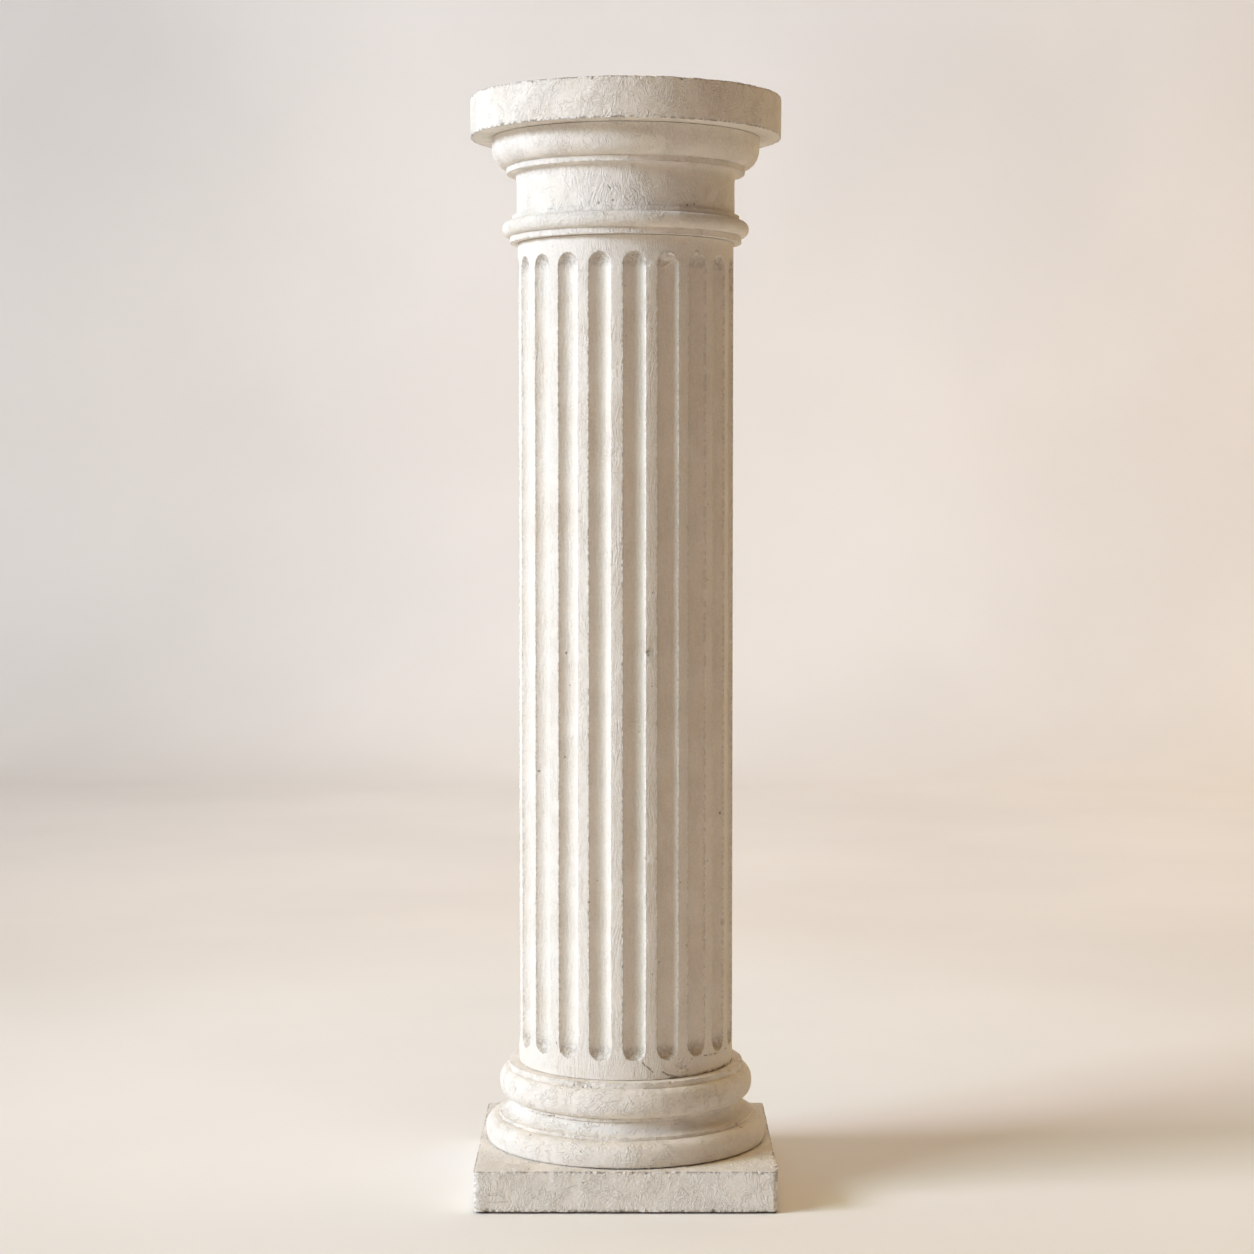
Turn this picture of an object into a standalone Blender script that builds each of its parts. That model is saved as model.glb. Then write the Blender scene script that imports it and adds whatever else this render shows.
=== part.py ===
"""A fluted prop column of painted plaster: five castings stacked on each other.

Metres, +Z up. The origin is the centre of the plinth's underside, and -Y is the front.
Run it with: blender --background --python part.py
"""

import math

import bmesh
import bpy
from mathutils import Matrix

# The open line between two castings
JOINT = 0.0003

# Shaft, which every other radius is measured from
SHAFT_RADIUS = 0.1000
SHAFT_HEIGHT = 0.7605

# Flutes, round ended, with a flat fillet left between two of them
FLUTE_COUNT = 20
FLUTE_FILLET = 0.0104
FLUTE_DEPTH = 0.0075
FLUTE_MARGIN_TOP = 0.0143
FLUTE_MARGIN_FOOT = 0.0170
FLUTE_TURN = math.radians(4.5)

# Base mouldings from the bottom up. A projection is how far a moulding stands out past the shaft.
LOWER_TORUS_HEIGHT = 0.0229
LOWER_TORUS_PROJECTION = 0.0313
LOWER_TORUS_BULGE = 0.0108
LOWER_FILLET_HEIGHT = 0.0033
LOWER_FILLET_PROJECTION = 0.0187
SCOTIA_HEIGHT = 0.0112
SCOTIA_PROJECTION = 0.0075
WAIST_FILLET_HEIGHT = 0.0033
UPPER_TORUS_HEIGHT = 0.0271
UPPER_TORUS_PROJECTION = 0.0185
TOP_FILLET_HEIGHT = 0.0056
TOP_FILLET_PROJECTION = 0.0098

# Plinth, a square slab that shows a little all round the lower torus
PLINTH_HEIGHT = 0.0385
PLINTH_MARGIN = 0.0052
PLINTH_CORNER_RADIUS = 0.0050

# Capital from the bottom up
NECKING_FILLET_HEIGHT = 0.0056
NECKING_FILLET_PROJECTION = 0.0075
ASTRAGAL_HEIGHT = 0.0149
ASTRAGAL_PROJECTION = 0.0145
ANNULET_HEIGHT = 0.0047
ANNULET_PROJECTION = 0.0055
NECK_HEIGHT = 0.0290
NECK_PROJECTION = 0.0012
CAVETTO_HEIGHT = 0.0093
CAVETTO_PROJECTION = 0.0047
CAPITAL_FILLET_HEIGHT = 0.0056
CAPITAL_FILLET_PROJECTION = 0.0107
OVOLO_HEIGHT = 0.0178
OVOLO_PROJECTION = 0.0240
OVOLO_BAND_HEIGHT = 0.0093

# Abacus, a round slab that overhangs the ovolo
ABACUS_HEIGHT = 0.0369
ABACUS_OVERHANG = 0.0200
ABACUS_ARRIS_RADIUS = 0.0020

# How finely the round forms are cut into facets
TURNED_SIDES = 48
SHAFT_SIDES_PER_FLUTE = 6
CUTTER_SIDES = 20
CUTTER_RINGS = 4
TORUS_STEPS = 6
COVE_STEPS = 4
ARRIS_STEPS = 2
CORNER_STEPS = 3
WELD = 0.000001
SMOOTH_ANGLE = math.radians(35)

# Radii and heights that follow from the sizes above
TOP_FILLET_RADIUS = SHAFT_RADIUS + TOP_FILLET_PROJECTION
UPPER_TORUS_RADIUS = SHAFT_RADIUS + UPPER_TORUS_PROJECTION
SCOTIA_RADIUS = SHAFT_RADIUS + SCOTIA_PROJECTION
LOWER_FILLET_RADIUS = SHAFT_RADIUS + LOWER_FILLET_PROJECTION
LOWER_TORUS_RADIUS = SHAFT_RADIUS + LOWER_TORUS_PROJECTION
NECKING_FILLET_RADIUS = SHAFT_RADIUS + NECKING_FILLET_PROJECTION
ASTRAGAL_RADIUS = SHAFT_RADIUS + ASTRAGAL_PROJECTION
ANNULET_RADIUS = SHAFT_RADIUS + ANNULET_PROJECTION
NECK_RADIUS = SHAFT_RADIUS + NECK_PROJECTION
CAVETTO_RADIUS = SHAFT_RADIUS + CAVETTO_PROJECTION
CAPITAL_FILLET_RADIUS = SHAFT_RADIUS + CAPITAL_FILLET_PROJECTION
OVOLO_RADIUS = SHAFT_RADIUS + OVOLO_PROJECTION
ABACUS_RADIUS = OVOLO_RADIUS + ABACUS_OVERHANG
PLINTH_SIDE = 2 * (LOWER_TORUS_RADIUS + PLINTH_MARGIN)


def clear_scene():
    for obj in list(bpy.data.objects):
        bpy.data.objects.remove(obj, do_unlink=True)


def plaster(name, colour, roughness):
    """A matte plaster finish of one colour."""
    material = bpy.data.materials.new(name)
    material.use_nodes = True
    shader = material.node_tree.nodes["Principled BSDF"]
    shader.inputs["Base Color"].default_value = (*colour, 1.0)
    shader.inputs["Roughness"].default_value = roughness
    shader.inputs["Metallic"].default_value = 0.0
    material.diffuse_color = (*colour, 1.0)
    return material


def add_object(name, bm, material=None, level=0.0):
    """The mesh as an object whose underside stands at the height called level."""
    bmesh.ops.recalc_face_normals(bm, faces=bm.faces)
    mesh = bpy.data.meshes.new(name)
    bm.to_mesh(mesh)
    bm.free()
    obj = bpy.data.objects.new(name, mesh)
    obj.location.z = level
    bpy.context.scene.collection.objects.link(obj)
    if material is not None:
        mesh.materials.append(material)
    mesh.shade_smooth()
    mesh.set_sharp_from_angle(angle=SMOOTH_ANGLE)
    return obj


def arc(centre, radii, start, end, steps):
    """Points (radius, height) on an ellipse from one angle to another, in degrees up from level."""
    points = []
    for step in range(steps + 1):
        angle = math.radians(start + (end - start) * step / steps)
        points.append((
            centre[0] + radii[0] * math.cos(angle),
            centre[1] + radii[1] * math.sin(angle),
        ))
    return points


def torus(radius, bulge, foot, height, steps=TORUS_STEPS):
    """A convex moulding that swells by its bulge to its radius at mid height."""
    centre = (radius - bulge, foot + height / 2)
    return arc(centre, (bulge, height / 2), -90, 90, steps)


def band(radius, foot, height):
    """A flat upright moulding."""
    return [(radius, foot), (radius, foot + height)]


def spin(profile, sides):
    """The closed body that a profile from axis to axis sweeps round Z."""
    bm = bmesh.new()
    verts = [bm.verts.new((radius, 0.0, height)) for radius, height in profile]
    edges = [bm.edges.new(pair) for pair in zip(verts, verts[1:])]
    bmesh.ops.spin(
        bm,
        geom=verts + edges,
        cent=(0, 0, 0),
        axis=(0, 0, 1),
        angle=math.tau,
        steps=sides,
        use_merge=True,
    )
    bmesh.ops.remove_doubles(bm, verts=bm.verts, dist=WELD)
    return bm


def turned(mouldings):
    """A turned body: the mouldings from the bottom up, closed by a flat bed above and below."""
    outline = [point for moulding in mouldings for point in moulding]
    profile = [(0.0, outline[0][1]), *outline, (0.0, outline[-1][1])]
    distinct = [profile[0]]
    for point in profile[1:]:
        if math.dist(point, distinct[-1]) > WELD:
            distinct.append(point)
    return spin(distinct, TURNED_SIDES)


def make_plinth(level, material):
    """The square slab, its upright edges a little rounded."""
    bm = bmesh.new()
    bmesh.ops.create_cube(
        bm,
        size=1.0,
        matrix=Matrix.Translation((0, 0, PLINTH_HEIGHT / 2))
        @ Matrix.Diagonal((PLINTH_SIDE, PLINTH_SIDE, PLINTH_HEIGHT, 1)),
    )
    upright = [edge for edge in bm.edges if edge.verts[0].co.z != edge.verts[1].co.z]
    bmesh.ops.bevel(
        bm,
        geom=upright,
        offset=PLINTH_CORNER_RADIUS,
        offset_type="OFFSET",
        segments=CORNER_STEPS,
        profile=0.5,
        affect="EDGES",
    )
    add_object("plinth", bm, material, level)
    return level + PLINTH_HEIGHT + JOINT


def make_base_mouldings(level, material):
    """Lower torus, fillet, scotia, fillet, upper torus and top fillet."""
    lower_fillet = LOWER_TORUS_HEIGHT
    scotia = lower_fillet + LOWER_FILLET_HEIGHT
    waist = scotia + SCOTIA_HEIGHT
    upper_torus = waist + WAIST_FILLET_HEIGHT
    top_fillet = upper_torus + UPPER_TORUS_HEIGHT
    hollow = (LOWER_FILLET_RADIUS - SCOTIA_RADIUS, SCOTIA_HEIGHT)
    bm = turned([
        torus(LOWER_TORUS_RADIUS, LOWER_TORUS_BULGE, 0.0, LOWER_TORUS_HEIGHT),
        band(LOWER_FILLET_RADIUS, lower_fillet, LOWER_FILLET_HEIGHT),
        arc((LOWER_FILLET_RADIUS, waist), hollow, 270, 180, COVE_STEPS),
        band(TOP_FILLET_RADIUS, waist, WAIST_FILLET_HEIGHT),
        torus(
            UPPER_TORUS_RADIUS,
            UPPER_TORUS_RADIUS - TOP_FILLET_RADIUS,
            upper_torus,
            UPPER_TORUS_HEIGHT,
        ),
        band(TOP_FILLET_RADIUS, top_fillet, TOP_FILLET_HEIGHT),
    ])
    add_object("base_mouldings", bm, material, level)
    return level + top_fillet + TOP_FILLET_HEIGHT + JOINT


def make_flute_cutter(level):
    """One upright rod with ball ends for each flute, biting into the shaft by the flute's depth."""
    pitch = math.tau / FLUTE_COUNT
    half_width = SHAFT_RADIUS * math.sin(pitch / 2) - FLUTE_FILLET / 2
    chord_drop = SHAFT_RADIUS - math.sqrt(SHAFT_RADIUS**2 - half_width**2)
    bite = FLUTE_DEPTH - chord_drop
    rod_radius = (half_width**2 + bite**2) / (2 * bite)
    end_reach = math.sqrt(rod_radius**2 - (rod_radius - FLUTE_DEPTH) ** 2)
    low = FLUTE_MARGIN_FOOT + end_reach
    high = SHAFT_HEIGHT - FLUTE_MARGIN_TOP - end_reach
    ball = (rod_radius, rod_radius)
    rod = spin(
        [
            *arc((0.0, low), ball, -90, 0, CUTTER_RINGS),
            *arc((0.0, high), ball, 0, 90, CUTTER_RINGS),
        ],
        CUTTER_SIDES,
    )
    axis_distance = SHAFT_RADIUS + rod_radius - FLUTE_DEPTH
    bmesh.ops.translate(rod, verts=rod.verts, vec=(0, -axis_distance, 0))
    one_rod = bpy.data.meshes.new("flute_rod")
    rod.to_mesh(one_rod)
    rod.free()
    one_rod.transform(Matrix.Rotation(FLUTE_TURN, 4, "Z"))
    rods = bmesh.new()
    for _ in range(FLUTE_COUNT):
        rods.from_mesh(one_rod)
        one_rod.transform(Matrix.Rotation(pitch, 4, "Z"))
    bpy.data.meshes.remove(one_rod)
    cutter = add_object("flute_cutter", rods, level=level)
    cutter.hide_render = True
    cutter.display_type = "WIRE"
    return cutter


def make_shaft(level, material):
    """A plain drum with the flutes cut into it."""
    sides = FLUTE_COUNT * SHAFT_SIDES_PER_FLUTE
    drum = spin(
        [(0.0, 0.0), (SHAFT_RADIUS, 0.0), (SHAFT_RADIUS, SHAFT_HEIGHT), (0.0, SHAFT_HEIGHT)],
        sides,
    )
    fillet_middle = FLUTE_TURN + math.pi / FLUTE_COUNT
    bmesh.ops.rotate(drum, verts=drum.verts, matrix=Matrix.Rotation(fillet_middle, 3, "Z"))
    shaft = add_object("shaft", drum, material, level)
    cutter = make_flute_cutter(level)
    flutes = shaft.modifiers.new("flutes", "BOOLEAN")
    flutes.operation = "DIFFERENCE"
    flutes.solver = "EXACT"
    flutes.object = cutter
    bpy.context.view_layer.update()
    graph = bpy.context.evaluated_depsgraph_get()
    fluted = bpy.data.meshes.new_from_object(shaft.evaluated_get(graph))
    shaft.modifiers.remove(flutes)
    shaft.data = fluted
    fluted.name = "shaft"
    fluted.set_sharp_from_angle(angle=SMOOTH_ANGLE)
    bpy.data.objects.remove(cutter, do_unlink=True)
    return level + SHAFT_HEIGHT + JOINT


def make_capital(level, material):
    """Necking fillet, astragal, annulet, neck, cavetto, fillet and ovolo."""
    astragal = NECKING_FILLET_HEIGHT
    annulet = astragal + ASTRAGAL_HEIGHT
    neck = annulet + ANNULET_HEIGHT
    cavetto = neck + NECK_HEIGHT
    fillet = cavetto + CAVETTO_HEIGHT
    ovolo = fillet + CAPITAL_FILLET_HEIGHT
    ovolo_band = ovolo + OVOLO_HEIGHT
    cove = (CAVETTO_RADIUS - NECK_RADIUS, CAVETTO_HEIGHT)
    swell = (OVOLO_RADIUS - CAPITAL_FILLET_RADIUS, OVOLO_HEIGHT)
    bm = turned([
        band(NECKING_FILLET_RADIUS, 0.0, NECKING_FILLET_HEIGHT),
        torus(
            ASTRAGAL_RADIUS,
            ASTRAGAL_RADIUS - NECKING_FILLET_RADIUS,
            astragal,
            ASTRAGAL_HEIGHT,
        ),
        band(ANNULET_RADIUS, annulet, ANNULET_HEIGHT),
        [(NECK_RADIUS, neck)],
        arc((CAVETTO_RADIUS, cavetto), cove, 180, 90, COVE_STEPS),
        band(CAPITAL_FILLET_RADIUS, fillet, CAPITAL_FILLET_HEIGHT),
        arc((CAPITAL_FILLET_RADIUS, ovolo_band), swell, -90, 0, COVE_STEPS),
        [(OVOLO_RADIUS, ovolo_band + OVOLO_BAND_HEIGHT)],
    ])
    add_object("capital", bm, material, level)
    return level + ovolo_band + OVOLO_BAND_HEIGHT + JOINT


def make_abacus(level, material):
    """The round top slab, its arrises a little rounded."""
    inner = ABACUS_RADIUS - ABACUS_ARRIS_RADIUS
    rounding = (ABACUS_ARRIS_RADIUS, ABACUS_ARRIS_RADIUS)
    bm = turned([
        arc((inner, ABACUS_ARRIS_RADIUS), rounding, -90, 0, ARRIS_STEPS),
        arc((inner, ABACUS_HEIGHT - ABACUS_ARRIS_RADIUS), rounding, 0, 90, ARRIS_STEPS),
    ])
    add_object("abacus", bm, material, level)


def main():
    clear_scene()
    level = make_plinth(0.0, plaster("plinth_plaster", (0.78, 0.74, 0.68), 0.92))
    level = make_base_mouldings(level, plaster("base_plaster", (0.81, 0.77, 0.71), 0.90))
    level = make_shaft(level, plaster("shaft_plaster", (0.80, 0.76, 0.70), 0.90))
    level = make_capital(level, plaster("capital_plaster", (0.81, 0.77, 0.71), 0.90))
    make_abacus(level, plaster("abacus_plaster", (0.79, 0.75, 0.69), 0.92))


main()
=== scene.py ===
"""Dresses a fluted prop column in worn, brushed plaster and stands it in a plain studio.

Lengths are metres in the frame of the column's solids: +Z up, the floor at 0, and -Y the front.
A turn is an angle about the column's axis: 0 faces the front, and it grows towards +X.
"""

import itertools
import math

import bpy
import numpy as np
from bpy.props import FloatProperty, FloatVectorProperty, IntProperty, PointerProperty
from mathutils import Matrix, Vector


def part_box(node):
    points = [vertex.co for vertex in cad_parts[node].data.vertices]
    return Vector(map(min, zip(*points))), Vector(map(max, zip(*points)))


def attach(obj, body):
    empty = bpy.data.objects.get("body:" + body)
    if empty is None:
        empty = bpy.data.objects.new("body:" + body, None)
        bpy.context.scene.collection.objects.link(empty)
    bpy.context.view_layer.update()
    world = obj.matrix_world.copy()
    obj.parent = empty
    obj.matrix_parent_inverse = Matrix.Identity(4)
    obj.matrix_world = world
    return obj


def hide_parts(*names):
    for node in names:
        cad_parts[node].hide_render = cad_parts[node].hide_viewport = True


bl_info = {
    "name": "Plaster prop column",
    "version": (1, 0, 0),
    "blender": (4, 5, 0),
    "location": "3D View > Sidebar > Column",
    "description": "Dresses a fluted display column in worn plaster and sets up its studio",
    "category": "Object",
}

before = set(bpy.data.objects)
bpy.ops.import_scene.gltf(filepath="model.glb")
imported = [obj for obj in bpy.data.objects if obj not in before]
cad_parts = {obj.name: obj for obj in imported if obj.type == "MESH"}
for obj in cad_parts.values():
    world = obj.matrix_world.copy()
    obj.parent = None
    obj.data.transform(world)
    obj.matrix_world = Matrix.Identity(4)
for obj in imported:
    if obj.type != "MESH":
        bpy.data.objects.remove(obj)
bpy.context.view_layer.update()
MM = 0.001


# Settings

def span(name, description, millimetres):
    """A length that a user may change, its default given in millimetres."""
    return FloatProperty(
        name=name,
        description=description,
        default=millimetres * MM,
        subtype="DISTANCE",
        unit="LENGTH",
        precision=4,
    )


def height_of(moulding, millimetres):
    return span(f"{moulding} height", f"Height of the {moulding.lower()}", millimetres)


def projection_of(moulding, millimetres):
    return span(moulding, f"How far the {moulding.lower()} stands out past the shaft", millimetres)


def colour(name, description, value):
    return FloatVectorProperty(
        name=name, description=description, default=value, size=3, min=0.0, max=1.0, subtype="COLOR"
    )


def angle(name, description, degrees):
    return FloatProperty(
        name=name,
        description=description,
        default=math.radians(degrees),
        subtype="ANGLE",
        unit="ROTATION",
    )


def share(name, description, value=1.0):
    return FloatProperty(name=name, description=description, default=value, min=0.0, subtype="FACTOR")


class ShaftSettings(bpy.types.PropertyGroup):
    """The shaft and its flutes."""

    radius: span("Radius", "Radius of the shaft over its fillets", 100.0)
    flutes: IntProperty(name="Flutes", description="Flutes round the shaft", default=20, min=8, max=36)
    fillet: span("Fillet", "Width of the flat left between two flutes", 10.4)
    depth: span("Flute depth", "Depth of a flute at its middle", 7.5)
    margin_top: span("Top margin", "From the shaft's top to the flutes' upper ends", 14.3)
    margin_foot: span("Foot margin", "From the shaft's foot to the flutes' lower ends", 17.0)
    turn: angle("First flute", "Turn of the flute nearest the front", 4.5)
    wobble: span("Wobble", "How far a flute's edge strays from its line", 0.2)
    wear: span("Wear", "How deep a flute's edge has worn", 0.14)


class BaseSettings(bpy.types.PropertyGroup):
    """The base mouldings."""

    lower_torus_height: height_of("Lower torus", 22.9)
    lower_torus_projection: projection_of("Lower torus", 31.3)
    lower_torus_bulge: span("Lower torus bulge", "Swell of the lower torus", 10.8)
    lower_torus_foot: span("Lower torus foot", "How far the lower torus tucks in at its foot", 2.4)
    lower_fillet_height: height_of("Lower fillet", 3.3)
    lower_fillet_projection: projection_of("Lower fillet", 18.7)
    scotia_height: height_of("Scotia", 11.2)
    scotia_projection: projection_of("Scotia", 7.5)
    waist_fillet_height: height_of("Waist fillet", 3.3)
    upper_torus_height: height_of("Upper torus", 27.1)
    upper_torus_projection: projection_of("Upper torus", 18.5)
    fillet_projection: projection_of("Top fillet", 9.8)
    wear: span("Wear", "How deep the mouldings' edges have worn", 0.4)


class CapitalSettings(bpy.types.PropertyGroup):
    """The capital's mouldings."""

    necking_height: height_of("Necking fillet", 5.6)
    necking_projection: projection_of("Necking fillet", 7.5)
    astragal_height: height_of("Astragal", 14.9)
    astragal_projection: projection_of("Astragal", 14.5)
    annulet_height: height_of("Annulet", 4.7)
    annulet_projection: projection_of("Annulet", 5.5)
    neck_height: height_of("Neck", 29.0)
    neck_projection: projection_of("Neck", 1.2)
    cavetto_height: height_of("Cavetto", 9.3)
    cavetto_projection: projection_of("Cavetto", 4.7)
    fillet_height: height_of("Fillet", 5.6)
    fillet_projection: projection_of("Fillet", 10.7)
    ovolo_height: height_of("Ovolo", 17.8)
    wear: span("Wear", "How deep the mouldings' edges have worn", 0.4)


class SlabSettings(bpy.types.PropertyGroup):
    """The plinth and the abacus."""

    plinth_corner: span("Plinth corner", "Radius of the plinth's upright edges", 5.0)
    wear: span("Wear", "How deep the slabs' edges have worn", 1.1)
    # The undercut's wall is painted fully dark, as painted shadow under the plinth
    undercut_height: span("Undercut height", "Height of the dark line under the plinth", 1.8)
    undercut_depth: span("Undercut depth", "How far that line is cut in", 1.5)


class FinishSettings(bpy.types.PropertyGroup):
    """The painted plaster."""

    plaster: colour("Plaster", "Colour of the clean plaster", (0.86, 0.81, 0.735))
    warm: colour("Warm plaster", "Colour where the paint is thin", (0.825, 0.765, 0.68))
    # The dark colour for dirt, and for painted shade in pits, cracks, crumbs, chips, nooks, joints and
    # flute ends
    dirt_and_shade: colour("Dirt", "Colour of what has settled in pits and cracks", (0.13, 0.09, 0.06))
    roughness: FloatProperty(
        name="Roughness", description="Roughness of the plaster", default=0.9, min=0.0, max=1.0
    )


class StudioSettings(bpy.types.PropertyGroup):
    """Camera, lights and floor."""

    camera_distance: span("Camera distance", "In front of the column's axis", 2489.0)
    camera_height: span("Camera height", "Above the floor", 640.2)
    camera_aside: span("Camera aside", "To the right of the column's axis", 1.2)
    camera_tilt: angle("Camera tilt", "How far the camera looks down", 2.81)
    lens: FloatProperty(name="Lens", description="Focal length in mm on a 36 mm frame", default=76.6)
    key_power: share("Left light", "Strength of the light from the left")
    fill_power: share("Fill light", "Strength of the warm light from the right and the front")
    top_power: share("Top light", "Strength of the lights overhead and on the wall")
    room_colour: colour("Room", "Colour of the room beyond the backdrop", (0.12, 0.103, 0.084))
    # The floor is painted whiter near the column as a painted pool of light, and the backdrop darker at
    # its left and high up as painted shade
    near_floor: colour("Near floor", "Colour of the floor under the column", (0.88, 0.865, 0.83))
    left_shade: share("Left shade", "How light the backdrop is at its left side", 0.79)
    high_shade: share("High shade", "How light the backdrop is high up", 0.9)
    far_floor: colour("Far floor", "Colour of the floor and wall further off", (0.87, 0.81, 0.735))


class ColumnSettings(bpy.types.PropertyGroup):
    """All settings of the column and its studio."""

    shaft: PointerProperty(name="Shaft", description="The shaft and its flutes", type=ShaftSettings)
    base: PointerProperty(name="Base", description="The base mouldings", type=BaseSettings)
    capital: PointerProperty(name="Capital", description="The capital", type=CapitalSettings)
    slabs: PointerProperty(name="Slabs", description="Plinth and abacus", type=SlabSettings)
    finish: PointerProperty(name="Finish", description="The plaster", type=FinishSettings)
    studio: PointerProperty(name="Studio", description="The studio", type=StudioSettings)


# Places on the column

def levels(node):
    """The heights of a solid's underside and top."""
    low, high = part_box(node)
    return low[2], high[2]


def place_at(turn, radius, height):
    """A point on the column, from its turn in degrees and its radius and height in millimetres."""
    turn = math.radians(turn)
    return (radius * MM * math.sin(turn), -radius * MM * math.cos(turn), height * MM)


# Noise

NOISE_TABLE = 4096
NOISE_STRIDES = np.array([73856093, 19349663, 83492791])


def wander(points, size, seed):
    """Smooth noise from -1 to 1 that changes over about size metres, one size or one for each axis."""
    cells = points / size
    corner = np.floor(cells).astype(np.int64)
    share = cells - corner
    share = share * share * (3 - 2 * share)
    table = np.random.default_rng(seed).uniform(-1, 1, NOISE_TABLE)
    total = np.zeros(len(points))
    for step in itertools.product((0, 1), repeat=3):
        place = (corner + step) * NOISE_STRIDES
        key = (place[:, 0] ^ place[:, 1] ^ place[:, 2]) % NOISE_TABLE
        total += np.prod(np.where(step, share, 1 - share), axis=1) * table[key]
    return total


def rough(points, size, octaves, seed):
    """Several layers of wander, each half as large and half as strong as the one before."""
    total = np.zeros(len(points))
    for octave in range(octaves):
        total += wander(points, size / 2**octave, seed + octave) / 2**octave
    return total


def ramp(values, low, high):
    """0 below low, 1 above high, and smooth between them."""
    share = np.clip((values - low) / (high - low), 0, 1)
    return share * share * (3 - 2 * share)


# Outlines

ARC_STEPS = 24
CORNER_ZONE = 3 * MM
CORNER_TURN = math.sin(math.radians(30))
MOULDING_EDGE = 1.2 * MM
SLAB_EDGE = 1.8 * MM
NOOK_WIDTH = 1.0 * MM
# Spacing of a skin's rows
ROW_SPACING = 1.25 * MM
CORNER_SPACING = 0.6 * MM
BED_SPACING = 1.5 * MM
TOP_SPACING = 2.6 * MM
HIDDEN_SPACING = 12 * MM


class Outline:
    """A piece's outline, drawn from the bottom up by a pen at a radius and a height.

    It is kept as runs of points, each with the spacing of its rows.
    """

    def __init__(self, radius, height):
        self.radius, self.height = radius, height
        self.runs = []

    def draw(self, points, spacing):
        self.runs.append((points, spacing))
        self.radius, self.height = points[-1]

    def line(self, radius, height, spacing=ROW_SPACING):
        """A straight line to a radius and a height."""
        self.draw(np.array([(self.radius, self.height), (radius, height)]), spacing)

    def across(self, radius, spacing=ROW_SPACING):
        """A level line to a radius."""
        self.line(radius, self.height, spacing)

    def up(self, rise, spacing=ROW_SPACING):
        """An upright line."""
        self.line(self.radius, self.height + rise, spacing)

    def curve(self, radii, start, end):
        """An arc of an ellipse from one angle to another, in degrees up from level."""
        angles = np.radians(np.linspace(start, end, ARC_STEPS + 1))
        points = np.stack([radii[0] * np.cos(angles), radii[1] * np.sin(angles)], axis=1)
        self.draw(points - points[0] + (self.radius, self.height), ROW_SPACING)

    def torus(self, radius, height):
        """A convex moulding that swells to a radius at mid height."""
        self.curve((radius - self.radius, height / 2), -90, 90)

    def slab_side(self, top):
        """A slab's side and the rim of its top, with close rows by the edges."""
        radius = self.radius
        self.up(CORNER_ZONE, CORNER_SPACING)
        self.line(radius, top - CORNER_ZONE)
        self.line(radius, top, CORNER_SPACING)
        self.across(radius - CORNER_ZONE, CORNER_SPACING)


def nearness(along, spots, width):
    """1 at the spots along an outline, falling off to 0 over a width."""
    away = np.abs(along[:, None] - np.array(spots)[None, :]).min(axis=1)
    return np.exp(-((away / width) ** 2))


class Rows:
    """The rows of a skin along an outline: places, outward normals, nearness to edges and nooks."""

    def __init__(self, outline, edge_width=MOULDING_EDGE):
        places, tangents, along, corners, nooks = [], [], [], [], [-1.0]
        length = 0.0
        for points, spacing in outline.runs:
            steps = np.linalg.norm(np.diff(points, axis=0), axis=1)
            reach = np.concatenate([[0.0], np.cumsum(steps)])
            count = max(2, math.ceil(reach[-1] / spacing))
            stops = np.linspace(0, reach[-1], count + 1)
            run = np.stack([np.interp(stops, reach, points[:, axis]) for axis in (0, 1)], axis=1)
            tangent = np.gradient(run, axis=0)
            tangent /= np.linalg.norm(tangent, axis=1)[:, None]
            if places:
                before = tangents[-1][-1]
                bend = before[0] * tangent[0][1] - before[1] * tangent[0][0]
                if bend > CORNER_TURN:
                    corners.append(length)
                if bend < -CORNER_TURN:
                    nooks.append(length)
                middle = before + tangent[0]
                tangents[-1][-1] = middle / np.linalg.norm(middle)
                run, tangent, stops = run[1:], tangent[1:], stops[1:]
            places.append(run)
            tangents.append(tangent)
            along.append(stops + length)
            length += reach[-1]
        self.places = np.concatenate(places)
        tangents = np.concatenate(tangents)
        self.normals = np.stack([tangents[:, 1], -tangents[:, 0]], axis=1)
        self.edge = nearness(np.concatenate(along), corners, edge_width)
        self.nook = nearness(np.concatenate(along), nooks, NOOK_WIDTH)


# Skins

FLAT = 0.01 * MM
BED_EDGE = 2.5 * MM
SHARP = math.radians(32)
BEND_POINTS = 7


def sheet(index):
    """Triangles between the rows and columns of a lattice that closes on itself sideways."""
    beside = np.roll(index, -1, axis=1)
    pairs = np.concatenate([
        np.stack([index[:-1], beside[:-1], beside[1:]], axis=-1).reshape(-1, 3),
        np.stack([index[:-1], beside[1:], index[1:]], axis=-1).reshape(-1, 3),
    ])
    first, second, third = pairs.T
    return pairs[(first != second) & (second != third) & (third != first)]


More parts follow.
